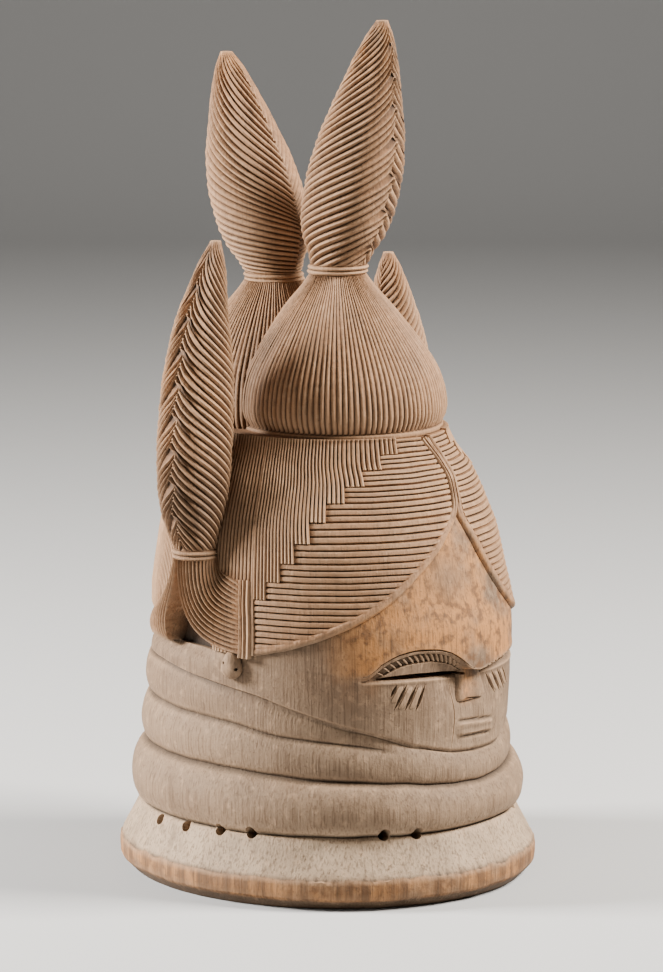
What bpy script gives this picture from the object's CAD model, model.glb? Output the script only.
import math
import bpy
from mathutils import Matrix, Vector, noise


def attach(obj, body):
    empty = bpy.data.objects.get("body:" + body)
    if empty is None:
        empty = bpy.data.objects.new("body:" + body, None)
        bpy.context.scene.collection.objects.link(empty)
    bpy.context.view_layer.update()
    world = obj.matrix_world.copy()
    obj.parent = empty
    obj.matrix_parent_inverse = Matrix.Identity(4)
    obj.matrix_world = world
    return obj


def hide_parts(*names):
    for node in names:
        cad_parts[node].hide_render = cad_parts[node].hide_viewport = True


# A wooden helmet mask, carved from one block, on a pale floor.
# Lengths in the dictionaries are millimetres. Angles are degrees from the middle of the face towards the
# wearer's right, and the wearer's right is side 1.
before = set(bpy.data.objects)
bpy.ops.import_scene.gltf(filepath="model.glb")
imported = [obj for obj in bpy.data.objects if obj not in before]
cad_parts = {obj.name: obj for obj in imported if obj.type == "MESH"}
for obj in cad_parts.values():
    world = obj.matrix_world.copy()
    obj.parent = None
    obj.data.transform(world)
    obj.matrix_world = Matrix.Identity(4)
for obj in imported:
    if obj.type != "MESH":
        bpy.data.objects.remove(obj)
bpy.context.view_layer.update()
mm = 0.001


def mix(a, b, t):
    return a + (b - a) * t


def clamp(x, low=0.0, high=1.0):
    return min(high, max(low, x))


def smooth(low, high, x):
    t = clamp((x - low) / (high - low))
    return t * t * (3 - 2 * t)


def hump(x, middle, wide):
    return math.exp(-((x - middle) / wide) ** 2)


def through(points):
    # a curve through a few points that never swings past them
    last = len(points) - 1

    def grade(a, b):
        return (b[1] - a[1]) / (b[0] - a[0])

    slopes = []
    for i, point in enumerate(points):
        if i == 0:
            slopes.append(grade(point, points[1]))
        elif i == last:
            slopes.append(grade(points[last - 1], point))
        else:
            before, after = grade(points[i - 1], point), grade(point, points[i + 1])
            slopes.append(0.0 if before * after <= 0 else 2 * before * after / (before + after))

    def read(x):
        x = clamp(x, points[0][0], points[last][0])
        i = 0
        while i < last - 1 and x > points[i + 1][0]:
            i += 1
        run = points[i + 1][0] - points[i][0]
        t = (x - points[i][0]) / run
        return (points[i][1] * (1 + 2 * t) * (1 - t) ** 2 + slopes[i] * run * t * (1 - t) ** 2
                + points[i + 1][1] * t * t * (3 - 2 * t) + slopes[i + 1] * run * t * t * (t - 1))

    return read


def rough(x, y, z, size):
    # an even wobble between -1 and 1, the same each time
    return noise.noise(Vector((x / size, y / size, z / size)))


def wanders(place, amount, size):
    # what a knife leaves: the place moved a little
    x, y, z = place
    return Vector((x + amount * rough(x, y, z, size), y + amount * rough(y, z, x + 40, size),
                   z + amount * rough(z, x, y + 90, size)))


# Modelling steps
sameSpot = 0.000002  # metres; points nearer than this are one


def onlyThis(obj):
    bpy.ops.object.select_all(action="DESELECT")
    obj.select_set(True)
    bpy.context.view_layer.objects.active = obj


def openMesh(obj):
    onlyThis(obj)
    bpy.ops.object.mode_set(mode="EDIT")
    bpy.ops.mesh.select_all(action="SELECT")


def gridSheet(name, columns, rows, deep=False):
    # a flat grid one unit wide; a deep one is also drawn out into a block one unit thick
    bpy.ops.mesh.primitive_grid_add(x_subdivisions=columns - 1, y_subdivisions=rows - 1, size=1,
                                    location=(0, 0, 0))
    obj = bpy.context.active_object
    obj.name = name
    if deep:
        openMesh(obj)
        bpy.ops.mesh.extrude_region_move(TRANSFORM_OT_translate={"value": (0, 0, 1)})
        bpy.ops.object.mode_set(mode="OBJECT")
    return obj


def shape(obj, columns, rows, pointAt):
    for vertex in obj.data.vertices:
        column = round((vertex.co.x + 0.5) * (columns - 1))
        row = round((vertex.co.y + 0.5) * (rows - 1))
        vertex.co = pointAt(column, row, vertex.co.z > 0.5) * mm


def outwards(obj):
    openMesh(obj)
    bpy.ops.mesh.remove_doubles(threshold=sameSpot)
    bpy.ops.mesh.select_all(action="SELECT")
    bpy.ops.mesh.normals_make_consistent(inside=False)
    bpy.ops.mesh.select_all(action="DESELECT")
    bpy.ops.object.mode_set(mode="OBJECT")


def block(name, columns, rows, pointAt):
    # a closed block; pointAt gets column, row, and whether the point is on the under side
    obj = gridSheet(name, columns, rows, deep=True)
    shape(obj, columns, rows, pointAt)
    outwards(obj)
    return obj


def turned(name, columns, rows, pointAt):
    # a closed skin that wraps round; pointAt gets column and row
    obj = gridSheet(name, columns + 1, rows)
    shape(obj, columns + 1, rows, lambda column, row, under: pointAt(column % columns, row))
    openMesh(obj)
    bpy.ops.mesh.remove_doubles(threshold=sameSpot)
    bpy.ops.mesh.select_all(action="DESELECT")
    bpy.ops.mesh.select_non_manifold(extend=False, use_wire=False, use_boundary=True, use_multi_face=False,
                                     use_non_contiguous=False, use_verts=False)
    bpy.ops.mesh.fill_holes(sides=0)
    bpy.ops.object.mode_set(mode="OBJECT")
    outwards(obj)
    return obj


def carveWith(target, tool, operation):
    onlyThis(target)
    step = target.modifiers.new(operation.lower(), "BOOLEAN")
    step.operation = operation
    step.solver = "MANIFOLD"
    step.object = tool
    bpy.ops.object.modifier_apply(modifier=step.name)
    onlyThis(tool)
    bpy.ops.object.delete()


# The head: an oval in plan, with its half width, half length and how far back its middle sits, by height
headForm = {
    "halfWidth": [(78, 100.5), (131, 101), (157, 100.5), (170, 99.5), (188, 97), (203, 94.5), (217, 90.5),
                  (238, 80), (250, 71.5), (262, 64)],
    "halfLength": [(78, 109.5), (131, 109), (157, 107), (170, 104), (188, 100.2), (203, 97.3), (217, 93.2),
                   (238, 88), (250, 82), (262, 80)],
    "back": [(90, 0), (131, -3), (157, -4), (178, -2.8), (203, -1.5), (217, 0), (238, 3), (250, 6), (262, 8.5)],
    "top": 265,
}
headWidth = through(headForm["halfWidth"])
headLength = through(headForm["halfLength"])
headBack = through(headForm["back"])


def onHead(angle, z, lift=0.0):
    a = math.radians(angle)
    width, length = headWidth(z), headLength(z)
    out = Vector((-math.sin(a) / width, -math.cos(a) / length, 0)).normalized()
    out.z = clamp((headWidth(z - 1) - headWidth(z + 1)) / 2, 0, 2)
    out.normalize()
    return Vector((-width * math.sin(a), headBack(z) - length * math.cos(a), z)) + out * lift


# Lines round the head, as heights by angle; right and left are the wearer's
jawEnd = [(65, 112.4), (79, 120.2), (100, 126), (120, 130)]
slitEnd = [(44, 131), (60, 132), (81, 136), (100, 139)]
browEnd = [(44, 132.8), (60, 135.5), (81, 140), (100, 143)]
lines = {
    "lowGroove": [(0, 40.5), (180, 40.5)],
    "middleGroove": [(0, 65.4), (9, 66.1), (25, 68.8), (39, 71.2), (53, 72.7), (76, 75.1), (95, 76.7)],
    "highGroove": [(0, 79), (9, 80.6), (25, 85.6), (39, 90.8), (53, 94.2), (71, 97.5), (89, 102.8),
                   (121, 104.8)],
    "jaw": [(0, 82), (9, 83.5), (25, 89.7), (39, 98.2), (54, 106.1), *jawEnd],
    "leftJaw": [(0, 82), (6, 81.6), (13, 81.6), (20, 83.5), (30, 89), (38, 94), (47, 101), (54, 105.6),
                *jawEnd],
    "rightSlit": [(0, 128), (7, 129), (20, 131), (30, 131.9), (38, 131.8), *slitEnd],
    "leftSlit": [(0, 128), (7, 128.4), (20, 129), (30, 129.4), (38, 130), *slitEnd],
    "rightBrow": [(0, 130.6), (4, 132.4), (6.3, 134.8), (10, 139.4), (14, 143.3), (19.7, 145.9), (26, 146.5),
                  (32, 144.9), (37.6, 140.5), *browEnd],
    "leftBrow": [(0, 130.6), (5, 131.6), (10, 132.8), (15, 133.8), (22, 134.6), (30, 134.2), (38, 133),
                 *browEnd],
    "rightLid": [(3, 129.6), (5, 130.8), (10, 134.8), (15.8, 138), (22, 139.7), (27.4, 139.8), (31.8, 138.5),
                 (36.4, 135), (39.7, 132.3), (44, 130.4)],
    "leftLid": [(3, 129.6), (10, 131), (16, 131.9), (24, 132.5), (32, 132.2), (40, 131), (44, 130.4)],
}
line = {name: through(points) for name, points in lines.items()}


def browAt(angle):
    # the wearer's left brow is cut lower than the right one
    return line["rightBrow" if angle >= 0 else "leftBrow"](abs(angle))


def lidAt(angle):
    return line["rightLid" if angle >= 0 else "leftLid"](abs(angle))


def slitAt(angle):
    return line["rightSlit" if angle >= 0 else "leftSlit"](abs(angle))


def edgeAt(name, angle):
    # the jaw hangs lower at the wearer's left, and the groove under it with it
    if angle >= 0:
        return line[name](angle)
    if name == "jaw":
        return line["leftJaw"](-angle)
    if name == "highGroove":
        return min(line[name](-angle), line["leftJaw"](-angle) - bellForm["leftGap"])
    return line[name](-angle)


# The edge of the hair on each side, as angle and height from the crown down
hairlines = {
    1: [(3.6, 261), (-2.8, 247), (-0.3, 224), (9.7, 208.6), (17.3, 198.4), (34.7, 176.7), (48.6, 164),
        (67, 151.5), (79, 146)],
    -1: [(-0.2, 261), (5.4, 247), (2.6, 222), (6.5, 204), (12.5, 187), (20.5, 171.7), (30, 161.5), (52, 151.5),
         (79, 146)],
}
hairlineByHeight = {side: through([(z, a) for a, z in reversed(points)]) for side, points in hairlines.items()}
hairlineByAngle = {side: through(points[2:]) for side, points in hairlines.items()}

# The bell: rim, rolls of the neck, face and forehead
bellForm = {
    "rimMean": 121,
    "rimHalf": (117, 126),
    "rimRows": [(0, 113.5), (1, 115), (3, 117), (5, 118.8), (6.6, 120.2), (7.8, 120.9), (11, 121.2),
                (15, 121.3), (17.6, 121.1), (18.6, 120.2), (20, 119.6), (22, 118.6), (25, 117.1), (28, 115.5),
                (31, 114), (34, 112.5), (36.5, 111.3), (38.6, 110.2), (39.8, 109)],
    "wornFrom": 6.6,  # the worn band
    "wornTo": 18.6,
    "chipUp": 2.2,
    "chipIn": 0.6,
    "facets": 8,  # flat cuts of the adze to a half turn
    "facet": 1.0,
    # each roll: the grooves under and over it, its mean radius at both, its swell and its rows
    "rolls": [("lowGroove", "middleGroove", 107.6, 104.6, 7.4, 12),
              ("middleGroove", "highGroove", 104.6, 102.4, 4.2, 11),
              ("highGroove", "jaw", 102.4, 101.8, 3.6, 9)],
    "oneRoll": (104.6, 101.8, 3.4),  # the two upper rolls run into one in front
    "oneRollTo": (30, 42),
    "leftGap": 2.5,  # from the top groove up to the jaw, at the wearer's left
    "fullRoll": 26,
    "roundness": 0.55,
    "tuck": (144, 5.5, 5.5),  # height, half width and depth of the crease at the nape
    "faceStep": 0.8,
    "backStep": 4.0,
    "faceTo": 62,
    "lowerRows": 50,
    "eyeRows": 24,
    "foreheadRows": 34,
    "middleWide": 21,  # how far the sunk middle of the face reaches, in degrees
    "jawCut": (1.8, 0.035),
    "eye": (1, 45),
    "lidProud": 2.2,
    "lidBed": 3.4,
    "underLip": (0.5, 2.6, 0.9),  # of the eye: height, how far under the slit, half width
    "browRim": (0.5, 2.4, 1.4),
    "sunk": 2.4,  # how far the head lies back under the hair
    # height, half width and half length of the inside
    "hollow": [(-2, 103, 112), (12, 99, 108), (24, 93.5, 102.5), (38, 90, 98), (100, 88, 95.5), (160, 84, 91),
               (190, 78, 85), (205, 72, 79), (222, 60, 67), (233, 45, 50), (239, 24, 28)],
    "hollowSides": 40,
}
# how far the middle of the face lies back: 0 at the jaw, 1 at the eye's slit, 2 at the brow
faceBack = through([(0, 3), (0.13, 3.8), (0.4, 4), (0.6, 5.5), (0.8, 9), (1, 11), (1.25, 10), (1.78, 5),
                    (2, 0)])


def ovalPoint(angle, halfWidth, halfLength, z):
    a = math.radians(angle)
    return Vector((-halfWidth * math.sin(a), -halfLength * math.cos(a), z))


def onOval(angle, z, mean):
    # a place on the rim's oval, grown or shrunk to a mean radius
    return ovalPoint(angle, *(half * mean / bellForm["rimMean"] for half in bellForm["rimHalf"]), z)


def chipsAt(spot):
    # how far the upper edge of the worn band is chipped up or down
    return rough(spot.x, spot.y, 0, 9) + 0.6 * rough(spot.x, spot.y, 7, 3.5)


def rimPoint(angle, z, mean):
    form = bellForm
    edge, low = hump(z, form["wornTo"], 2.5), hump(z, form["wornFrom"], 1.5)
    spot = onOval(angle, z, mean)
    # the flat cuts of the adze lie on the slope
    swing = abs(math.sin(math.radians(angle * form["facets"] + z * 2) + 1.5 * rough(spot.x, spot.y, 3, 60)))
    facet = form["facet"] * smooth(19, 24, z) * smooth(41, 35, z) * (1 - swing)
    out = mean - facet + 0.6 * smooth(20, 2, z) * rough(spot.x, spot.y, z, 14)
    out -= form["chipIn"] * edge * abs(chipsAt(spot))
    up = form["chipUp"] * edge * chipsAt(spot)
    place = onOval(angle, z + up + 0.9 * low * rough(spot.x, spot.y, 30, 20), out)
    place.z = max(place.z, 0)
    return place


def rollPoint(angle, roll, t):
    fromLine, toLine, low, high, swell = roll[:5]
    bottom, top = edgeAt(fromLine, angle), edgeAt(toLine, angle)
    full = clamp((top - bottom) / bellForm["fullRoll"], 0, 1.1)
    z = mix(bottom, top, t)
    mean = mix(low, high, t) + swell * full * math.sin(math.pi * clamp(t, 0, 1)) ** bellForm["roundness"]
    inFront = 1 - smooth(*bellForm["oneRollTo"], abs(angle))
    if fromLine != "lowGroove" and inFront > 0:
        foot, head, bulge = bellForm["oneRoll"]
        groove, jaw = edgeAt("middleGroove", angle), edgeAt("jaw", angle)
        share = clamp((z - groove) / (jaw - groove))
        bulge *= math.sin(math.pi * share) ** bellForm["roundness"]
        mean = mix(mean, mix(foot, head, share) + bulge, inFront)
    return wanders(onOval(angle, z, mean), 0.6, 17)


def tuckAt(a, z):
    # the crease at the nape, under the ends of the hair
    height, wide, deep = bellForm["tuck"]
    return deep * hump(z, height, wide) * smooth(90, 102, a)


def facePoint(angle, t):
    # t runs 0 to 1 from the jaw to the eye's slit, and on to 2 at the brow
    form = bellForm
    a = abs(angle)
    slit, brow, lidTop = slitAt(angle), browAt(angle), lidAt(angle)
    z = mix(edgeAt("jaw", angle), slit, t) if t <= 1 else mix(slit, brow, t - 1)
    cut, cutHigh = form["jawCut"]
    lift = -faceBack(t) * hump(a, 0, form["middleWide"]) - tuckAt(a, z) - cut * hump(t, 0, cutHigh)
    eyeFrom, eyeTo = form["eye"]
    if eyeFrom < a < eyeTo + 1 and t > 0.9:
        opening = math.sin(math.pi * clamp((a - eyeFrom) / (eyeTo - eyeFrom))) ** 0.5
        lid = smooth(slit - 0.4, slit + 1.2, z) * (1 - smooth(lidTop - 0.5, lidTop + 0.3, z))
        ridge = brow - (1.5 if angle > 0 else 0.4)
        bed = smooth(0.93, 1.0, t) * (1 - smooth(ridge - 0.6, ridge, z))
        lift += opening * (form["lidProud"] * lid - form["lidBed"] * bed)
    if t < 1:
        proud, below, wide = form["underLip"]
        lift += mouthAt(angle, z)
        lift += proud * hump(z - slit + below, 0, wide) * smooth(6, 12, a) * (1 - smooth(36, 44, a))
    return wanders(onHead(angle, z, lift), 0.25, 12)


mouthForm = {
    "middle": -2.6,
    "half": 11.4,
    "up": 99.9,  # heights of the two cut lines
    "down": 91.1,
    "upTurn": 1.8,  # how far they turn up at the wearer's right
    "downTurn": 1,
    "proud": 1.7,
    "parting": 0.4,
    "cut": 1.2,
}


def mouthAt(angle, z):
    # a low band between two cut lines; the lower line is shorter and shallower
    form = mouthForm
    across = clamp((angle - form["middle"]) / form["half"], -1, 1)
    up, down = form["up"] + form["upTurn"] * across, form["down"] + form["downTurn"] * across
    ends = smooth(1, 0.7, abs(across))
    lowEnds = smooth(1, 0.6, abs(across * 1.15))
    band = smooth(down - 0.5, down + 1.8, z) * (1 - smooth(up - 1.8, up + 0.5, z))
    parting = hump(z, (up + down) / 2, 1.3)
    cut = hump(z, up, 1.1) + 0.75 * lowEnds * hump(z, down, 1.1)
    return ends * (form["proud"] * band - form["parting"] * parting - form["cut"] * cut)


def foreheadPoint(angle, t):
    a = abs(angle)
    side = 1 if angle >= 0 else -1
    z = mix(browAt(angle), headForm["top"] - 1, t)
    under = smooth(-1, 5, z - hairlineByAngle[side](max(0.0, a - 2)))
    proud, above, wide = bellForm["browRim"]
    rim = proud * hump(z - browAt(angle), above, wide) * (smooth(2, 9, a) * (1 - smooth(40, 47, a)))
    swell = 0.8 * rough(a * side, z, 3, 26)
    here = onHead(angle, z, rim - bellForm["sunk"] * under - tuckAt(a, z))
    return wanders(here, 0.4 * (1 - under), 15 + swell)


def makeBell():
    form = bellForm
    faceCount = round(2 * form["faceTo"] / form["faceStep"])
    backCount = round((360 - 2 * form["faceTo"]) / form["backStep"])
    angles = [mix(-form["faceTo"], form["faceTo"], i / faceCount) for i in range(faceCount)]
    angles += [mix(form["faceTo"], 360 - form["faceTo"], i / backCount) for i in range(backCount)]
    angles = [a - 360 if a > 180 else a for a in angles]
    rows = [lambda a, z=z, mean=mean: rimPoint(a, z, mean) for z, mean in form["rimRows"]]
    for roll in form["rolls"]:
        for i in range(roll[-1]):
            rows.append(lambda a, roll=roll, t=i / roll[-1]: rollPoint(a, roll, t))
    for i in range(form["lowerRows"]):
        rows.append(lambda a, t=i / form["lowerRows"]: facePoint(a, t))
    for i in range(form["eyeRows"] + 1):
        rows.append(lambda a, t=1 + i / form["eyeRows"]: facePoint(a, t))
    for i in range(1, form["foreheadRows"] + 1):
        rows.append(lambda a, t=(i / form["foreheadRows"]) ** 1.25: foreheadPoint(a, t))
    return turned("carvedMask", len(angles), len(rows), lambda column, row: rows[row](angles[column]))


def makeHollow():
    levels, sides = bellForm["hollow"], bellForm["hollowSides"]

    def place(column, row):
        z, halfWidth, halfLength = levels[row]
        return wanders(ovalPoint(360 * column / sides, halfWidth, halfLength, z), 0.8 if row else 0, 20)

    return turned("hollow", sides, len(levels), place)


# The hair: level locks in front of a flight of steps, falling locks behind it
hairForm = {
    # the corners of the steps, as angle and height from the crown down
    "stairs": [(20.4, 263), (29.3, 254), (38.3, 246.1), (46.3, 238.1), (53.1, 229.5), (58.8, 219.5),
               (64.3, 208), (69.2, 197), (73.9, 186.3), (78.7, 176)],
    "levelEdge": 147.5,
    "edge": 144,
    "levelColumns": 18,
    "levelPerStep": 3,
    "levelAtFoot": 8,
    "fallingPerStep": 4,
    "napeLocks": 150,
    "levelDeep": 7,
    "fallingDeep": 6,
    "levelLift": (0.9, 2.7),
    "fallingLift": (1.5, 3.3),
    "prongs": 1.6,  # how much deeper the falling locks are cut at their ends
    "tuck": 7.5,  # how far the ends draw in at the nape
    "behind": 0.7,  # how far a level lock runs on under the falling ones
    "seam": 0.25,
    "stairRows": (12, 0.8),  # count, and how they crowd towards the foot
    "napeRows": (13, 0.85),
}
# across one lock: place from groove to groove, and share of the full lift
lockProfile = [(0.0, 0.0), (0.2, 0.86), (0.5, 1.0), (0.8, 0.86)]
roundProfile = [(0.0, 0.0), (0.26, 0.74), (0.5, 1.0), (0.74, 0.74)]


def lockSteps(low, high, locks, profile=lockProfile):
    # places across a row of locks, each with its share of the lift
    return [(mix(low, high, (lock + share) / locks), lift) for lock in range(locks) for share, lift in profile]


def levelHair(side):
    form = hairForm
    low, high = form["levelLift"]
    rows = []

    def climb(bottom, top, back, locks):
        rows.extend((z, back, lift) for z, lift in lockSteps(bottom, top, locks))
        rows.append((top - 0.05, back, 0.0))

    stairs = form["stairs"]
    climb(form["levelEdge"], stairs[-1][1], stairs[-1][0] + form["behind"], form["levelAtFoot"])
    for k in range(len(stairs) - 2, -1, -1):
        bottom, (back, top) = stairs[k + 1][1] + form["seam"], stairs[k]
        climb(bottom, top, back + form["behind"], form["levelPerStep"])
    columns = form["levelColumns"]

    def place(column, row, under):
        z, back, lift = rows[row]
        front = hairlineByHeight[side](z) + mix(0.6, 2.2, smooth(196, 232, z))
        angle = mix(front, back, column / (columns - 1))
        if under:
            return onHead(side * angle, z, -form["levelDeep"])
        here = onHead(side * angle, z)
        wobble = 0.35 * rough(here.x, here.y, here.z * 1.5, 9)
        endRound = 0.5 * smooth(1.6, 0, back - form["behind"] - angle)
        full = mix(low, high, lift) + wobble * lift - endRound * lift
        return onHead(side * angle, z + 0.3 * rough(here.x, here.y, 5, 14), full)

    return block("level locks", columns, len(rows), place)


def fallingLocks(name, columns, heights):
    # each column has its angle, its lower end, its share of the lift and whether it is cut deeper at its end
    form = hairForm
    low, high = form["fallingLift"]

    def place(column, row, under):
        angle, foot, lift, prong = columns[column]
        z = heights(foot, row)
        if under:
            return onHead(angle, z, -form["fallingDeep"])
        here = onHead(angle, z)
        deeper = prong * form["prongs"] * smooth(16, 2, z - foot) * (1 - lift)
        deeper += form["tuck"] * smooth(164, 143, z) * smooth(88, 104, abs(angle))
        wobble = 0.3 * rough(here.x, here.y, here.z / 2, 9)
        full = mix(low, high, lift) + wobble * lift - deeper
        return onHead(angle + 0.12 * rough(here.x, here.y, z, 22), z, full)

    return block(name, len(columns), heights.rows, place)


class Heights:
    # heights of the rows of falling locks, from the foot up to the domes
    def __init__(self, rows, bend):
        self.rows = rows
        self.bend = bend

    def __call__(self, foot, row):
        return mix(foot, headForm["top"] - 1, (row / (self.rows - 1)) ** self.bend)


def stairHair(side):
    stairs = hairForm["stairs"]
    seam = hairForm["seam"]
    locks = hairForm["fallingPerStep"]
    columns = []
    for (low, _), (high, foot) in zip(stairs, stairs[1:]):
        high -= seam / 3
        columns += [(side * angle, foot, lift, 1) for angle, lift in lockSteps(low, high, locks)]
        columns.append((side * high, foot, 0.0, 1))
    return fallingLocks("stair locks", columns, Heights(*hairForm["stairRows"]))


def napeHair():
    first = hairForm["stairs"][-1][0] - 0.6
    foot = hairForm["edge"]
    columns = [(angle, foot, lift, 0) for angle, lift in lockSteps(first, 360 - first, hairForm["napeLocks"])]
    columns.append((360 - first, foot, 0.0, 0))
    return fallingLocks("nape locks", columns, Heights(*hairForm["napeRows"]))


# Raised borders: each profile is a list of place across and lift
borderForm = {
    # from the hair's side to the forehead's side: one band along the forehead, two ridges along the parting
    "single": [(-2.3, -0.6), (-2.1, 1.7), (-1.4, 2.5), (-0.3, 2.8), (0.6, 2.8), (1.5, 2.5), (2.2, 1.8),
               (2.8, 0.8), (3.1, -0.6)],
    "double": [(-2.9, -0.6), (-2.6, 2.2), (-1.7, 3.5), (-0.8, 3.1), (-0.1, 1.6), (0.6, 3.1), (1.5, 3.4),
               (2.4, 2.2), (2.7, -0.6)],
    "partingFrom": (216, 230),
    "ear": [(-4.2, -0.6), (-3.9, 3), (-2.8, 4.4), (-1.6, 3.9), (-1.2, 2.6), (-0.8, 3.9), (0, 4.6), (0.8, 3.9),
            (1.2, 2.6), (1.6, 3.9), (2.8, 4.4), (3.9, 3), (4.2, -0.6)],
    "deep": 9,
    "earAngle": 81.5,
    "earSpan": (142, 186),
    "hairRows": 76,
    "earRows": 14,
    "perDegree": 1.65,  # millimetres round the head to a degree, near enough to space the rows
}


def border(name, points, profile, rows, facing=1, second=None):
    # a raised band through points of angle and height; a second profile takes over along the parting
    runs = [0.0]
    for (a1, z1), (a2, z2) in zip(points, points[1:]):
        runs.append(runs[-1] + math.hypot((a2 - a1) * borderForm["perDegree"], z2 - z1))
    angleAt = through([(run, point[0]) for run, point in zip(runs, points)])
    heightAt = through([(run, point[1]) for run, point in zip(runs, points)])

    def place(column, row, under):
        run = runs[-1] * row / (rows - 1)
        angle, z = angleAt(run), heightAt(run)
        reach = math.radians(headWidth(z))
        along = Vector(((angleAt(run + 1) - angleAt(run - 1)) * reach, heightAt(run + 1) - heightAt(run - 1)))
        along.normalize()
        across, lift = profile[column]
        if second:
            share = smooth(*borderForm["partingFrom"], z)
            across, lift = mix(across, second[column][0], share), mix(lift, second[column][1], share)
        across *= facing
        if under:
            lift = -borderForm["deep"]
            across *= 0.9
        here = onHead(angle - along.y * across / reach, z + along.x * across, lift)
        return here if under else wanders(here, 0.3, 8)

    return block(name, len(profile), rows, place)


def allBorders():
    form = borderForm
    made = []
    for side in (1, -1):
        points = [(side * a, z) for a, z in hairlines[side]]
        made.append(border("hair border", points, form["single"], form["hairRows"], -side, form["double"]))
        low, high = form["earSpan"]
        ear = [(side * form["earAngle"], z) for z in (low, mix(low, high, 0.5), high)]
        made.append(border("ear border", ear, form["ear"], form["earRows"]))
    return made


# Two domes, each ribbed all round
domeForm = {
    "front": {"foot": -11, "top": -8, "base": 265, "wide": 1.03, "locks": 112},
    "rear": {"foot": 38, "top": 39, "base": 260, "wide": 0.92, "locks": 102},
    "tall": 88,
    # height over the base, and radius
    "radius": [(2, 57), (3, 57.6), (7, 59.4), (12, 60.2), (20, 59.6), (28, 57.8), (36, 54.4), (44, 49.6),
               (53, 43.4), (62, 36.6), (72, 28.6), (80, 21.6), (88.5, 15.4)],
    "ring": [(-6.5, 55.6), (-6, 56.8), (-4.8, 57.3), (-3.6, 57), (-3.1, 56.3), (-2.6, 57), (-1.2, 57.6),
             (0.4, 57.3), (1, 56.2)],
    "rows": 22,
    "cut": 1.25,
    "cutAtTop": 0.55,
    "waver": 0.2,
    "uneven": 0.3,
    "swell": 0.35,
}


def dome(name, form):
    profile = through(domeForm["radius"])
    locks = form["locks"]
    columns = locks * 4
    rows = [(h, r, False) for h, r in domeForm["ring"]]
    first, last = domeForm["radius"][0][0], domeForm["radius"][-1][0]
    for i in range(domeForm["rows"]):
        h = mix(first, last, i / (domeForm["rows"] - 1))
        rows.append((h, profile(h), True))

    def place(column, row):
        h, full, ribbed = rows[row]
        up = clamp(h / domeForm["tall"])
        r = full * mix(form["wide"], 1, up)
        share, lift = roundProfile[column % 4]
        lock = column // 4
        a = math.radians(360 * (lock + share + domeForm["waver"] * rough(lock, h / 30, 3, 1.7)) / locks)
        if ribbed:
            uneven = 1 + domeForm["uneven"] * rough(lock, h / 12, 9, 1.3)
            r -= domeForm["cut"] * (1 - lift) * mix(1, domeForm["cutAtTop"], up) * uneven
            r += domeForm["swell"] * rough(lock * 3.1, h / 20, 1, 1.3)
        middle = mix(form["foot"], form["top"], up)
        return Vector((r * math.sin(a), middle - r * math.cos(a), form["base"] + h))

    return turned(name, columns, len(rows), place)


# Four plaits, tied at the foot; their locks meet in a zigzag up the outer side
plaitForm = {
    # radius by share of the length, for the top plaits and the side ones
    "top": [(0, 16.2), (0.05, 18.8), (0.12, 23.6), (0.22, 26.8), (0.35, 27.5), (0.5, 25.2), (0.65, 20.2),
            (0.8, 14.2), (0.92, 8.6), (1, 3.4)],
    "side": [(0, 12.2), (0.05, 14.4), (0.13, 18.2), (0.22, 20.4), (0.34, 21.2), (0.5, 20.6), (0.68, 17),
             (0.82, 12), (0.92, 7.8), (1, 3)],
    # fall: how far a lock drops from the spine to the far side; steep: how much of that fall, by height
    "plaits": [
        {"name": "front plait", "foot": (0, -8, 355), "tip": (0, -40, 500), "form": "top", "facing": 0,
         "locks": 31, "fall": 0.34, "steep": [(0, 0.6), (0.5, 1), (1, 0.85)]},
        {"name": "rear plait", "foot": (0, 39.4, 347), "tip": (0, 75, 477), "form": "top", "facing": 180,
         "locks": 26, "fall": 0.5, "steep": [(0, 0.04), (0.3, 0.4), (0.65, 1.1), (1, 1.4)],
         "spread": 1.35, "worn": 0.3},
        {"name": "right plait", "foot": (-102, 15.5, 199), "tip": (-86, 18.3, 377), "form": "side",
         "facing": 86, "locks": 38, "fall": 0.3, "steep": [(0, 0.9), (0.5, 1), (1, 0.9)],
         "bow": [(0, 0), (0.15, -2.9), (0.35, -3.3), (0.55, -2.8), (0.73, -2), (0.92, 2), (1, 4)]},
        {"name": "left plait", "foot": (105, 19, 199), "tip": (83, 18.3, 355), "form": "side",
         "facing": -90, "locks": 34, "fall": 0.3, "steep": [(0, 0.9), (0.5, 1), (1, 0.9)]},
    ],
    # the tie, as height along the plait and how far it stands proud
    "tie": [(-2.8, -0.8), (-2.4, 0.9), (-1.4, 1.6), (-0.5, 1.2), (0, 0.3), (0.5, 1.2), (1.4, 1.6), (2.4, 0.9),
            (2.8, 0)],
    "columns": 36,
    "proud": 0.7,
    "cut": 2.1,
    "uneven": 0.4,
    "swell": 0.4,
    "fullFrom": 13,  # plaits slimmer than this are cut less deep
    "above": 0.45,  # share of the fall that lies above a lock's middle, at the spine
    "curve": 0.85,
    "group": 4,  # locks to one crossing of the plait
    "bowTo": Vector((0.616, -0.788, 0)),  # which way a plait bends
    "zigzag": 0.017,
    "crossing": 0.15,  # how far the crossing reaches to each side of the spine
    "overlap": 1.1,
    "gap": 0.004,
    "smoothTip": 0.955,
}


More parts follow.
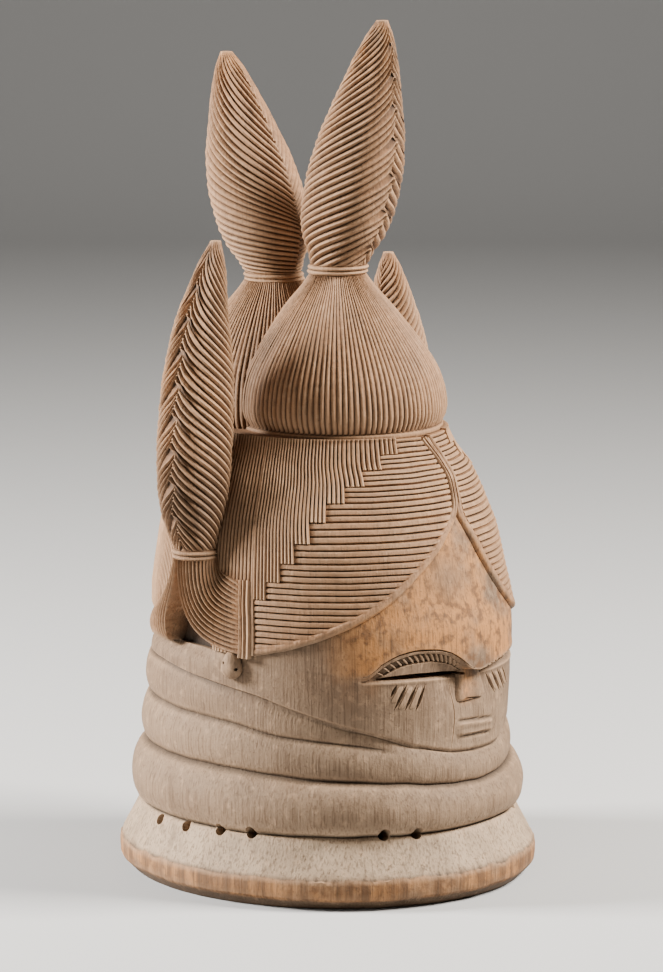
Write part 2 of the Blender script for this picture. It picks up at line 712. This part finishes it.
def plait(form):
    radius = through(plaitForm[form["form"]])
    foot, tip = Vector(form["foot"]), Vector(form["tip"])
    long = (tip - foot).length
    tie = plaitForm["tie"]
    start = tie[-1][0] / long
    half = plaitForm["columns"] // 2
    locks, fall, above = form["locks"], form["fall"], plaitForm["above"]
    steep = through(form["steep"])
    bow = through(form.get("bow", [(0, 0), (1, 0)]))
    lowest, highest = round(-fall * above * locks) - 1, round((1 + fall * (1 - above)) * locks) + 1
    shares = [share for share, _ in roundProfile]
    levels = [(lock + share, i) for lock in range(lowest, highest) for i, share in enumerate(shares)]

    def place(column, row):
        # the spine and the line facing it have two columns each, because the locks of both halves alternate
        back = column <= half
        turnShare = clamp((column if back else 2 * half + 1 - column) / half)
        share = clamp(turnShare / 2, plaitForm["gap"], 0.5 - plaitForm["gap"])
        share = share if back else 1 - share
        if row < len(tie):
            rise, proud = tie[row]
            h, r, seam = rise / long, radius(0) + proud, 0.0
        else:
            lock, i = levels[row - len(tie)]
            level = lock / locks
            if level > 0:
                level = level ** form.get("spread", 1)
            lift = roundProfile[(i + (0 if back else 2)) % 4][1]
            hLevel = clamp(level + fall * steep(level) * (above - turnShare ** plaitForm["curve"]))
            h = mix(start, 1, hLevel)
            group = lock / plaitForm["group"] % 1
            full = smooth(0, 0.012, hLevel) * smooth(1, plaitForm["smoothTip"], hLevel)
            near = hump(turnShare, 0, plaitForm["crossing"])
            seam = plaitForm["zigzag"] * (1 - 2 * group) * smooth(0, 0.1, hLevel) * full * near
            slim = min(1, radius(hLevel) / plaitForm["fullFrom"]) * full
            number = math.floor(lock + 0.5) + (50 if back else 0)
            uneven = 1 + plaitForm["uneven"] * rough(number * 7.3, 4, 1, 1.7)
            if back and "worn" in form:
                uneven *= mix(1, form["worn"], smooth(0.25, 0.45, turnShare))
            r = radius(hLevel) + slim * (plaitForm["proud"] - plaitForm["cut"] * (1 - lift) * uneven)
            r += slim * plaitForm["overlap"] * near * ((0.5 - group) if back else (group - 0.5))
            r += plaitForm["swell"] * rough(number * 1.3, share * 7, hLevel * 9, 1.1) * full
        turn = math.radians(form["facing"]) + 2 * math.pi * (share + seam)
        out = Vector((-math.sin(turn), -math.cos(turn), 0))
        return foot.lerp(tip, h) + plaitForm["bowTo"] * bow(h) + out * r

    return turned(form["name"], 2 * half + 2, len(tie) + len(levels), place)


# Hair that fans out under each side plait, in two branches
tuftForm = {
    "tie": (102, 15.5, 198),
    "tieRadius": 13.5,
    # end: where the locks end; lead: the place they make for, each as angle, height and lift at the branch's
    # first lock and its last one; drop: how far they hang straight down first
    "forward": {"name": "forward tuft", "from": -25, "to": 108, "locks": 15,
                "end": ((82.5, 82.5), (184, 143), (4, 4)), "lead": ((87, 95.5), (188, 146.5), (6, 9.5)),
                "drop": (8, 40)},
    "down": {"name": "down tuft", "from": 109, "to": 195, "locks": 9,
             "end": ((113, 129), (143.5, 143.5), (3.5, 3.5)), "lead": ((115, 136), (157, 157), (11, 10)),
             "drop": (22, 22)},
    "rows": 14,
    "groove": 1.9,
    "deep": 20,
    # the dark hollow between the branches: height, and the angles of its two sides
    "pit": [(174, 102, 104), (166, 100, 108), (158, 98, 111.5), (151, 96, 113.5), (142.8, 94, 114.8)],
    "pitDeep": 8,
}


def fan(side, part):
    tieX, tieY, tieZ = tuftForm["tie"]
    tie = Vector((-side * tieX, tieY, tieZ))
    columns = lockSteps(0, 1, part["locks"], roundProfile) + [(1, 0.0)]
    rows = tuftForm["rows"]

    def spot(ends, s):
        angle, z, lift = (mix(first, last, s) for first, last in ends)
        return onHead(side * angle, z, lift)

    def place(column, row, under):
        s, lift = columns[column]
        heading = math.radians(mix(part["from"], part["to"], s))
        out = Vector((-side * math.sin(heading), -math.cos(heading), 0))
        start = tie + out * tuftForm["tieRadius"]
        end, lead = spot(part["end"], s), spot(part["lead"], s)
        second = start + Vector((-side * 2, 0, -mix(*part["drop"], s)))
        t = row / (rows - 1)
        p = start * (1 - t) ** 3 + second * 3 * t * (1 - t) ** 2 + lead * 3 * t * t * (1 - t) + end * t ** 3
        away = Vector((p.x, p.y, 0)).normalized()
        if under:
            return p - away * tuftForm["deep"]
        return p - away * tuftForm["groove"] * (1 - lift)

    return block(part["name"], len(columns), rows, place)


def tuft(side):
    return [fan(side, tuftForm["forward"]), fan(side, tuftForm["down"])]


def pit(side):
    rows = tuftForm["pit"]

    def place(column, row, under):
        z, front, back = rows[row]
        return onHead(side * (back if column else front), z, -tuftForm["pitDeep"] if under else 14)

    return block("pit", 2, len(rows), place)


# Small features of the face
faceForm = {
    # height, half width and how far forward
    "nose": [(112.2, 12.2, 104.6), (112.9, 13.6, 106.4), (114.6, 14.2, 107.2), (118.6, 12.9, 107.3),
             (124, 10.6, 106.8), (130, 8.8, 106.2), (135, 8, 105.6)],
    "noseBack": 94,
    "noseSides": 24,
    "bluntness": 0.36,
    "nostril": ((-7.5, 114.3), (11.5, 112.2)),
    "nostrilReach": (105.2, 109),
    "nostrilHigh": (0.4, 1.0),  # at its ends and in the middle
    # each scar from its top to its foot, as angle and height
    "scars": {1: [((33.2, 128.2), (35.2, 121)), ((29.8, 127.7), (33.8, 113.3)), ((26.1, 126.9), (30.1, 112.7)),
                  ((22.6, 126.3), (26.3, 111.9))],
              -1: [((11.5, 124.5), (15, 112)), ((15, 124.8), (18.6, 112)), ((18.6, 125), (22.4, 112.2)),
                   ((22.4, 125), (26, 114))]},
    "scarDeep": 2.2,
    "scarWide": 1.5,
    "barWide": 2.3,
    "barProud": 0.8,
    "notches": 18,
    "notchSpan": (4.5, 42),
    "notchWide": 0.72,
    "notchLean": 0.95,
    "browCut": (3, 44.3, 1.5, 1.1),  # from and to angle, depth, width
    "browCutRows": 44,
    "pricks": [(-4.5, 131.6), (-7, 132.3), (-9.5, 132.9), (-12, 133.3), (-15, 133.8), (-18, 134.2),
               (-21.5, 134.6)],
    "prickRadius": 0.65,
    "slit": (4.2, 40),  # from and to angle
    "slitHigh": {1: 1.75, -1: 0.8},
    "slitRows": 24,
    "ear": (86, 137.2),
    "earSize": (5.4, 6.4, 8.4),
    "earHoles": [(87.5, 138.6), (83.4, 135.4)],
    "earHoleRadius": 0.9,
    # angle and height of the lashing holes above the rim
    "holes": [(26.5, 40.4), (37, 41), (77, 40.2), (87.6, 39.4), (101, 37.2), (114, 36)],
    "holeRadius": 3.4,
    "split": [(0, 11.2), (0.25, 10.3), (0.5, 9.6), (0.75, 9.8), (1, 10.6)],  # share of its length, and angle
    "splitSpan": (127, 86.5),
    "splitWide": 0.42,
    "splitDeep": 2.2,
}


def cutAlong(name, rows, pointAt):
    # a wedge along a line; pointAt gets the share of its length, the side of the line (-0.5 or 0.5), and
    # whether the point is at the cut's bottom
    return block(name, 2, rows, lambda column, row, under: pointAt(row / (rows - 1), column - 0.5, under))


def thinned(t, gap, power):
    # a cut's fullness along its length: nothing at both ends, 1 in the middle
    return math.sin(math.pi * clamp(t, gap, 1 - gap)) ** power


def nose():
    sections, sides, back = faceForm["nose"], faceForm["noseSides"], faceForm["noseBack"]

    def blunt(x):
        return math.copysign(abs(x) ** faceForm["bluntness"], x)

    def place(column, row):
        a = 2 * math.pi * column / sides
        z, half, reach = sections[row]
        x, y = half * blunt(math.sin(a)), -back - (reach - back) * blunt(math.cos(a))
        return wanders(Vector((x, y, z)), 0.3, 6)

    return turned("nose", sides, len(sections), place)


def faceLift(angle, z):
    # how far the face lies back from the head's oval at a place between the jaw and the brow
    jaw, slit, brow = edgeAt("jaw", angle), slitAt(angle), browAt(angle)
    t = (z - jaw) / (slit - jaw) if z < slit else 1 + (z - slit) / max(0.5, brow - slit)
    return -faceBack(clamp(t, 0, 2)) * hump(abs(angle), 0, bellForm["middleWide"])


def strip(name, spots, across, proud, deep=4, rows=9):
    # a small raised bar between two spots on the face, each an angle and a height
    (a1, z1), (a2, z2) = spots
    profile = [(-1, 0), (-0.7, 0.8), (0, 1), (0.7, 0.8), (1, 0)]
    perDegree, root = 1.75, 0.8

    def place(column, row, under):
        t = row / (rows - 1)
        side, lift = profile[column]
        taper = min(1.0, 2.2 * math.sin(math.pi * clamp(t, 0.04, 0.96)))
        angle = mix(a1, a2, t) + side * across * taper / perDegree
        z = mix(z1, z2, t)
        base = faceLift(angle, z)
        return onHead(angle, z, base - deep if under else base - root + (proud + root) * lift * taper)

    return block(name, len(profile), rows, place)


def notches(side):
    # the cut band over the lid: short slanted bars
    made = []
    count = faceForm["notches"]
    low, high = faceForm["notchSpan"]
    lean = faceForm["notchLean"]
    for i in range(count):
        a = mix(low, high, (i + 0.5) / count)
        top = browAt(side * (a + lean)) - 1.7
        bottom = lidAt(side * (a - lean)) + 0.2
        if top - bottom < 1:
            continue
        spots = ((side * (a - lean), bottom), (side * (a + lean), top))
        made.append(strip("notch", spots, faceForm["notchWide"], -0.3, deep=6, rows=5))
    return made


def scars(side):
    # raised bars between the cut scars
    def halfway(p, q):
        return side * (p[0] + q[0]) / 2, (p[1] + q[1]) / 2

    cuts = faceForm["scars"][side]
    made = []
    for (top, foot), (nextTop, nextFoot) in zip(cuts, cuts[1:]):
        spots = halfway(top, nextTop), halfway(foot, nextFoot)
        made.append(strip("bar", spots, faceForm["barWide"], faceForm["barProud"]))
    return made


def scarCuts(side):
    def cut(top, foot):
        def place(t, across, under):
            thin = thinned(t, 0.03, 0.5)
            a, z = mix(top[0], foot[0], t), mix(top[1], foot[1], t)
            wide = faceForm["scarWide"] * thin * (0.12 if under else 2.2)
            lift = faceLift(side * a, z) + (-faceForm["scarDeep"] * thin if under else 2.5)
            return onHead(side * (a + across * wide / 1.2), z, lift)

        return cutAlong("scar cut", 9, place)

    return [cut(top, foot) for top, foot in faceForm["scars"][side]]


def browCuts():
    # the line cut over the right brow, and the row of pricks along the left one
    first, last, deep, wide = faceForm["browCut"]

    def place(t, across, under):
        a = mix(first, last, t)
        thin = thinned(t, 0.02, 0.4)
        z = browAt(a) + 0.5 + across * wide * thin * (0.3 if under else 2.4)
        return onHead(a, z, faceLift(a, z) + (-deep * thin if under else 2.5))

    made = [cutAlong("brow line", faceForm["browCutRows"], place)]
    for angle, z in faceForm["pricks"]:
        lift = faceLift(angle, z)
        out = onHead(angle, z, lift + 5) - onHead(angle, z, lift)
        made.append(drill("prick", onHead(angle, z, lift + 1.5), out, faceForm["prickRadius"], 5, 8))
    return made


def nostril():
    # one slanting cut across the foot of the nose
    (x1, z1), (x2, z2) = faceForm["nostril"]
    inner, outer = faceForm["nostrilReach"]
    atEnds, inMiddle = faceForm["nostrilHigh"]

    def place(t, across, under):
        high = atEnds if t in (0, 1) else inMiddle
        return Vector((mix(x1, x2, t), -inner if under else -outer, mix(z1, z2, t) + across * high))

    return cutAlong("nostril", 4, place)


def ears():
    made = []
    angle, z = faceForm["ear"]
    thick, wide, tall = faceForm["earSize"]
    for side in (1, -1):
        bpy.ops.mesh.primitive_uv_sphere_add(segments=20, ring_count=12, radius=1, location=(0, 0, 0))
        ear = bpy.context.active_object
        ear.name = "ear"
        middle = onHead(side * angle, z, 1.8)
        for vertex in ear.data.vertices:
            x, y, up = vertex.co
            lobe = Vector((x * thick, y * wide * (1 - 0.2 * up), up * tall))
            vertex.co = (middle + wanders(lobe, 0.4, 5)) * mm
        outwards(ear)
        made.append(ear)
    return made


def drill(name, middle, direction, radius, long, sides=14):
    # a rod to cut a hole with, along a direction
    bpy.ops.mesh.primitive_cylinder_add(vertices=sides, radius=radius * mm, depth=long * mm, location=(0, 0, 0))
    rod = bpy.context.active_object
    rod.name = name
    turn = direction.normalized().to_track_quat("Z", "Y")
    for vertex in rod.data.vertices:
        vertex.co = turn @ vertex.co + middle * mm
    outwards(rod)
    return rod


def piercings():
    made = []
    for side in (1, -1):
        for angle, height in faceForm["holes"]:
            middle = onOval(side * angle, height, 106)
            middle.z += 0.6 * rough(angle, side, 0, 3)
            out = Vector((middle.x, middle.y, 0)).normalized()
            made.append(drill("lashing hole", middle, out + Vector((0, 0, 0.25)), faceForm["holeRadius"], 44))
        for angle, z in faceForm["earHoles"]:
            out = onHead(side * angle, z, 9) - onHead(side * angle, z)
            made.append(drill("ear hole", onHead(side * angle, z, 8), out, faceForm["earHoleRadius"], 9, 8))
        made.append(eyeSlit(side))
    return made


def eyeSlit(side):
    # goes right through the wall
    def place(t, across, under):
        a = mix(*faceForm["slit"], t)
        high = faceForm["slitHigh"][side] * math.sin(math.pi * clamp(t, 0.04, 0.98)) ** 0.4
        z = slitAt(side * a) + high * across * 2
        return onHead(side * a, z, -34 if under else 6)

    return cutAlong("eye slit", faceForm["slitRows"], place)


def crack():
    # a thin split that runs down the wearer's right cheek
    path = through(faceForm["split"])

    def place(t, across, under):
        z = mix(*faceForm["splitSpan"], t)
        angle = path(t) + 0.25 * rough(z, 0, 0, 4)
        wide = faceForm["splitWide"] * thinned(t, 0.05, 0.5)
        lift = faceLift(angle, z) + (-faceForm["splitDeep"] if under else 3)
        return onHead(angle + across * wide, z, lift)

    return cutAlong("split", 16, place)


print("shaping the bell")
mask = makeBell()
print("joining the carving", len(mask.data.polygons))
additions = [napeHair(), levelHair(1), levelHair(-1), stairHair(1), stairHair(-1)]
additions += allBorders()
additions += [dome("front dome", domeForm["front"]), dome("rear dome", domeForm["rear"])]
additions += [plait(form) for form in plaitForm["plaits"]]
additions += tuft(1) + tuft(-1)
additions += [nose()] + ears() + scars(1) + scars(-1) + notches(1) + notches(-1)
for piece in additions:
    carveWith(mask, piece, "UNION")
print("cutting the hollow and the holes", len(mask.data.polygons))
cuts = [makeHollow(), crack(), nostril(), pit(1), pit(-1)] + browCuts() + scarCuts(1) + scarCuts(-1)
for piece in cuts + piercings():
    carveWith(mask, piece, "DIFFERENCE")
mask.data.validate()
print("faces", len(mask.data.polygons))

onlyThis(mask)
bpy.ops.object.shade_smooth_by_angle(angle=math.radians(42))
mask.name = "carvedMask"
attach(mask, "root")
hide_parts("mask")
mask.data.calc_loop_triangles()
print("triangles", len(mask.data.loop_triangles))

# Wood: dusty and dry, warmer in the hair, dark in the cuts, worn where hands and knocks have been
woodLook = {
    "dust": (0.155, 0.1, 0.061),
    "hair": (0.225, 0.11, 0.05),
    "shade": (0.06, 0.033, 0.018),
    "pale": (0.4, 0.255, 0.15),
    "warm": (0.31, 0.135, 0.042),
    "dusty": (0.36, 0.265, 0.175),
    "stain": (0.1, 0.045, 0.018),
    "dark": (0.012, 0.007, 0.004),
    "mottle": 34,  # size of each noise, a higher number is finer
    "spots": 190,
    "specks": 620,
    "grain": (820, 820, 26),
    "streaks": (150, 150, 7),
    # for each use of a noise: where it starts and ends to show, and how much of it shows
    "shadeByMottle": (0.62, 0.36, 0.26),
    "paleBySpots": (0.56, 0.7, 0.32),
    "warmByMottle": (0.36, 0.54, 1.0),
    "stainBySpots": (0.5, 0.36, 1.0),
    "stainByStreaks": (0.46, 0.6, 0.9),
    "shadeByStreaks": (0.54, 0.75, 0.45),
    "shadeByGrain": (0.5, 0.68, 0.62),
    "shadeBySpecks": (0.6, 0.72, 0.6),
    "stained": (0.8, 0.22, 0.1),  # on warm wood, on hair, and everywhere
    "paleEdges": 0.5,
    "darkCuts": 0.94,
    "roughness": (0.62, 0.88),
    "shine": 0.22,
    "speckRelief": 0.8,
    "bump": (0.6, 0.0005),  # strength, and depth in metres
}


def woodMaterial():
    look = woodLook
    material = bpy.data.materials.new("carved wood")
    material.use_nodes = True
    nodes, links = material.node_tree.nodes, material.node_tree.links
    shader = nodes["Principled BSDF"]

    def node(kind, **settings):
        made = nodes.new(kind)
        for key, value in settings.items():
            setattr(made, key, value)
        return made

    def noiseNode(scale, detail, stretch=(1, 1, 1)):
        mapping = node("ShaderNodeMapping")
        mapping.inputs["Scale"].default_value = stretch
        links.new(place.outputs["Object"], mapping.inputs["Vector"])
        made = node("ShaderNodeTexNoise")
        made.inputs["Scale"].default_value = scale
        made.inputs["Detail"].default_value = detail
        links.new(mapping.outputs["Vector"], made.inputs["Vector"])
        return made.outputs["Fac"]

    def ramp(value, low, high, least=0.0, most=1.0):
        made = node("ShaderNodeMapRange")
        for name, amount in (("From Min", low), ("From Max", high), ("To Min", least), ("To Max", most)):
            made.inputs[name].default_value = amount
        links.new(value, made.inputs["Value"])
        return made.outputs["Result"]

    def shown(value, use):
        low, high, most = look[use]
        return ramp(value, low, high, 0.0, most)

    def blend(share, first, second):
        # the mix node keeps its share in socket 0, and its two colours in 6 and 7
        made = node("ShaderNodeMix", data_type="RGBA")
        for socket, value in ((made.inputs[6], first), (made.inputs[7], second)):
            if isinstance(value, tuple):
                socket.default_value = (*value, 1)
            else:
                links.new(value, socket)
        links.new(share, made.inputs[0])
        return made.outputs[2]

    def sums(operation, first, second):
        made = node("ShaderNodeMath", operation=operation)
        for socket, value in ((made.inputs[0], first), (made.inputs[1], second)):
            if isinstance(value, float):
                socket.default_value = value
            else:
                links.new(value, socket)
        return made.outputs[0]

    def marked(name):
        return node("ShaderNodeAttribute", attribute_name=name).outputs["Fac"]

    place = node("ShaderNodeTexCoord")
    mottle = noiseNode(look["mottle"], 7)
    spots = noiseNode(look["spots"], 9)
    specks = noiseNode(look["specks"], 3)
    grain = noiseNode(1, 3, look["grain"])
    streaks = noiseNode(1, 5, look["streaks"])
    cuts, edges, band = marked("cuts"), marked("edges"), marked("band")
    colour = blend(marked("hair"), look["dust"], look["hair"])
    colour = blend(marked("dusty"), colour, look["dusty"])
    colour = blend(shown(mottle, "shadeByMottle"), colour, look["shade"])
    colour = blend(shown(spots, "paleBySpots"), colour, look["pale"])
    patches = sums("MULTIPLY", marked("warmth"), shown(mottle, "warmByMottle"))
    colour = blend(patches, colour, look["warm"])
    onWarm, onHair, anywhere = look["stained"]
    stains = sums("ADD", sums("MULTIPLY", marked("warmth"), onWarm), sums("MULTIPLY", marked("hair"), onHair))
    stains = sums("ADD", stains, anywhere)
    colour = blend(sums("MULTIPLY", stains, shown(spots, "stainBySpots")), colour, look["stain"])
    colour = blend(sums("MULTIPLY", band, shown(streaks, "stainByStreaks")), colour, look["stain"])
    colour = blend(shown(streaks, "shadeByStreaks"), colour, look["shade"])
    colour = blend(shown(grain, "shadeByGrain"), colour, look["shade"])
    colour = blend(shown(specks, "shadeBySpecks"), colour, look["shade"])
    colour = blend(sums("MULTIPLY", edges, look["paleEdges"]), colour, look["pale"])
    colour = blend(sums("MULTIPLY", cuts, look["darkCuts"]), colour, look["dark"])
    links.new(colour, shader.inputs["Base Color"])
    least, most = look["roughness"]
    links.new(ramp(mottle, 0.0, 1.0, least, most), shader.inputs["Roughness"])
    shader.inputs["Specular IOR Level"].default_value = look["shine"]
    relief = sums("ADD", grain, sums("MULTIPLY", specks, look["speckRelief"]))
    bump = node("ShaderNodeBump")
    strength, deep = look["bump"]
    bump.inputs["Strength"].default_value = strength
    bump.inputs["Distance"].default_value = deep
    links.new(relief, bump.inputs["Height"])
    links.new(bump.outputs["Normal"], shader.inputs["Normal"])
    return material


print("making the wood")
mask.data.materials.clear()
mask.data.materials.append(woodMaterial())
for polygon in mask.data.polygons:
    polygon.material_index = 0


# Where the wood is warm, hair, worn band, dusty, cut or edge, worked out for each vertex from its place in
# millimetres
wearForm = {
    # patches: how strongly they show, angle, height, and how far they reach round and up
    "duller": (0.75, 10, 186, 10, 13),
    "temple": (0.5, 47, 134, 9, 12),
    "bunches": (0.4, 92, 168, 8, 10),
    "behindPlaits": (0.5, 93, 225, 13, 42),
    "plaitMiddles": (0.45, 110, 290, 14, 40),  # by distance from the middle, in place of the angle
    "tips": (455, 492),
    # how strongly the others show
    "warmTips": 0.85,
    "warmBand": 0.8,
    "slopeDust": 0.85,
    "rollDust": 0.12,
    "bevelDirt": 0.5,
    "domeDirt": 0.6,
    "cutShare": 2.4,
    "edgeShare": 3.4,
}


def headAngle(x, y, z):
    return math.degrees(math.atan2(-x / headWidth(z), -(y - headBack(z)) / headLength(z)))


def hairAt(x, y, z):
    angle = headAngle(x, y, z)
    hairline = hairlineByAngle[1 if angle >= 0 else -1](abs(angle))
    return smooth(-2.5, 0.5, z - hairline) if z < 262 else 1.0


def patch(angle, z, share, middle, height, wide, tall):
    return share * math.exp(-((angle - middle) / wide) ** 2 - ((z - height) / tall) ** 2)


def warmthAt(x, y, z):
    form = wearForm
    angle = headAngle(x, y, z)
    bare = 1 - hairAt(x, y, z)
    forehead = bare * smooth(62, 40, abs(angle)) * smooth(browAt(angle) - 0.5, browAt(angle) + 1.5, z)
    forehead *= 1 - patch(angle, z, *form["duller"])
    temple = patch(angle, z, *form["temple"]) * smooth(36, 42, angle)
    noseFront = smooth(12, 7, abs(x)) * smooth(-104, -106.5, y)
    noseFront = noseFront * smooth(108, 114, z) * (1 - smooth(130, 136, z))
    tips = form["warmTips"] * smooth(*form["tips"], z)
    middles = patch(abs(x), z, *form["plaitMiddles"])
    bunches = patch(abs(angle), z, *form["bunches"])
    worn = form["warmBand"] * bandAt(x, y, z)
    return clamp(max(forehead, temple, noseFront, tips, middles, bunches, worn))


def dustyAt(x, y, z):
    # dust has settled on the slope of the rim, and a little on the rolls above it
    slope = wearForm["slopeDust"] * smooth(17, 21, z) * smooth(50, 38, z)
    return slope + wearForm["rollDust"] * smooth(38, 50, z) * smooth(125, 95, z)


def bandAt(x, y, z):
    # the worn edge of the rim, chipped along its top
    low, high = bellForm["wornFrom"], bellForm["wornTo"]
    chipped = z - bellForm["chipUp"] * chipsAt(Vector((x, y, 0)))
    return smooth(low - 1.6, low, z) * (1 - smooth(high - 1.6, high + 0.2, chipped))


def dirtAt(x, y, z):
    # old dirt where no hand rubs: under the band, behind the side plaits and between the domes
    form = wearForm
    if z < 262:
        bevel = form["bevelDirt"] * smooth(6.4, 4.6, z)
        return max(bevel, patch(abs(headAngle(x, y, z)), z, *form["behindPlaits"]))
    between = hump(y, 14, 17) * smooth(26, 44, abs(x)) * smooth(350, 325, z) * smooth(80, 66, abs(x))
    return form["domeDirt"] * between


def markVertices(obj):
    mesh = obj.data
    count = len(mesh.vertices)

    def mark(name, values):
        mesh.attributes.new(name, "FLOAT", "POINT").data.foreach_set("value", values)

    for name, read in (("warmth", warmthAt), ("hair", hairAt), ("band", bandAt), ("dusty", dustyAt)):
        mark(name, [read(*(v.co / mm)) for v in mesh.vertices])
    # a vertex lower than its neighbours, measured along its normal, lies in a cut; a higher one on an edge
    depth = [0.0] * count
    near = [0] * count
    for edge in mesh.edges:
        first, second = (mesh.vertices[i] for i in edge.vertices)
        along = second.co - first.co
        long = along.length
        if long < 1e-6:
            continue
        depth[first.index] += along.dot(first.normal) / long
        depth[second.index] -= along.dot(second.normal) / long
        near[first.index] += 1
        near[second.index] += 1
    dirt = [dirtAt(*(v.co / mm)) for v in mesh.vertices]
    cutShare, edgeShare = wearForm["cutShare"], wearForm["edgeShare"]
    mark("cuts", [clamp(max(low, cutShare * d / max(1, n))) for low, d, n in zip(dirt, depth, near)])
    mark("edges", [clamp(-edgeShare * d / max(1, n)) for d, n in zip(depth, near)])


markVertices(mask)

# Floor that curves up into a plain wall, light and camera, in metres
viewForm = {
    "azimuth": -52,
    "elevation": 9.5,
    "distance": 2.8,
    "target": (0, 0, 0.226),
    "lens": 176.9,
    "sensor": 36,
    "shift": 0.0046,
}
stageForm = {
    "before": 12,
    "depth": 3.2,
    "half": 9,
    "curve": 1.6,
    "height": 5,
    "steps": 14,
    "tone": 0.36,
    "roughness": 0.9,
    "skyTint": (0.9, 0.92, 0.95),
    "sky": 0.03,
}
lights = [
    {"name": "key light", "azimuth": 32, "elevation": 40, "distance": 1.8, "size": 0.6, "power": 165,
     "tint": (1, 0.95, 0.88)},
    {"name": "side light", "azimuth": -140, "elevation": 22, "distance": 1.9, "size": 0.5, "power": 185,
     "tint": (1, 0.97, 0.93)},
    {"name": "front light", "azimuth": -78, "elevation": 30, "distance": 2.4, "size": 0.9, "power": 8,
     "tint": (1, 0.98, 0.95)},
]


def studioSheet():
    form = stageForm
    columns, rows = 2, form["steps"] + 3
    obj = gridSheet("studioSheet", columns, rows)
    turn = math.radians(-viewForm["azimuth"])

    def sweep(row):
        if row == 0:
            return -form["before"], 0.0
        if row == rows - 1:
            return form["depth"] + form["curve"], form["height"]
        a = math.pi / 2 * (row - 1) / form["steps"]
        return form["depth"] + form["curve"] * math.sin(a), form["curve"] * (1 - math.cos(a))

    def place(column, row, under):
        run, height = sweep(row)
        side = mix(-form["half"], form["half"], column)
        # the sheet runs away from the camera
        x = side * math.cos(turn) + run * math.sin(turn)
        y = -side * math.sin(turn) + run * math.cos(turn)
        return Vector((x, y, height)) / mm

    shape(obj, columns, rows, place)
    onlyThis(obj)
    bpy.ops.object.shade_smooth()
    return obj


print("setting floor, light and camera")
floor = studioSheet()
floorMaterial = bpy.data.materials.new("pale floor")
floorMaterial.use_nodes = True
floorShader = floorMaterial.node_tree.nodes["Principled BSDF"]
floorShader.inputs["Base Color"].default_value = (stageForm["tone"], stageForm["tone"], stageForm["tone"], 1)
floorShader.inputs["Roughness"].default_value = stageForm["roughness"]
floor.data.materials.append(floorMaterial)

world = bpy.data.worlds.new("studio")
bpy.context.scene.world = world
world.use_nodes = True
world.node_tree.nodes["Background"].inputs["Color"].default_value = (*stageForm["skyTint"], 1)
world.node_tree.nodes["Background"].inputs["Strength"].default_value = stageForm["sky"]


def seenFrom(form):
    # a place round the mask
    a, e = math.radians(form["azimuth"]), math.radians(form["elevation"])
    out = Vector((math.sin(a) * math.cos(e), -math.cos(a) * math.cos(e), math.sin(e)))
    return Vector(viewForm["target"]) + form["distance"] * out


def lookAtMask(obj):
    towards = Vector(viewForm["target"]) - obj.location
    obj.rotation_euler = towards.to_track_quat("-Z", "Y").to_euler()


for form in lights:
    bpy.ops.object.light_add(type="AREA", location=seenFrom(form))
    light = bpy.context.active_object
    light.name = form["name"]
    light.data.size = form["size"]
    light.data.energy = form["power"]
    light.data.color = form["tint"]
    lookAtMask(light)

bpy.ops.object.camera_add(location=seenFrom(viewForm))
camera = bpy.context.active_object
camera.name = "camera"
camera.data.sensor_width = viewForm["sensor"]
camera.data.lens = viewForm["lens"]
camera.data.shift_x = viewForm["shift"]
camera.data.clip_end = 50
lookAtMask(camera)
bpy.context.scene.camera = camera
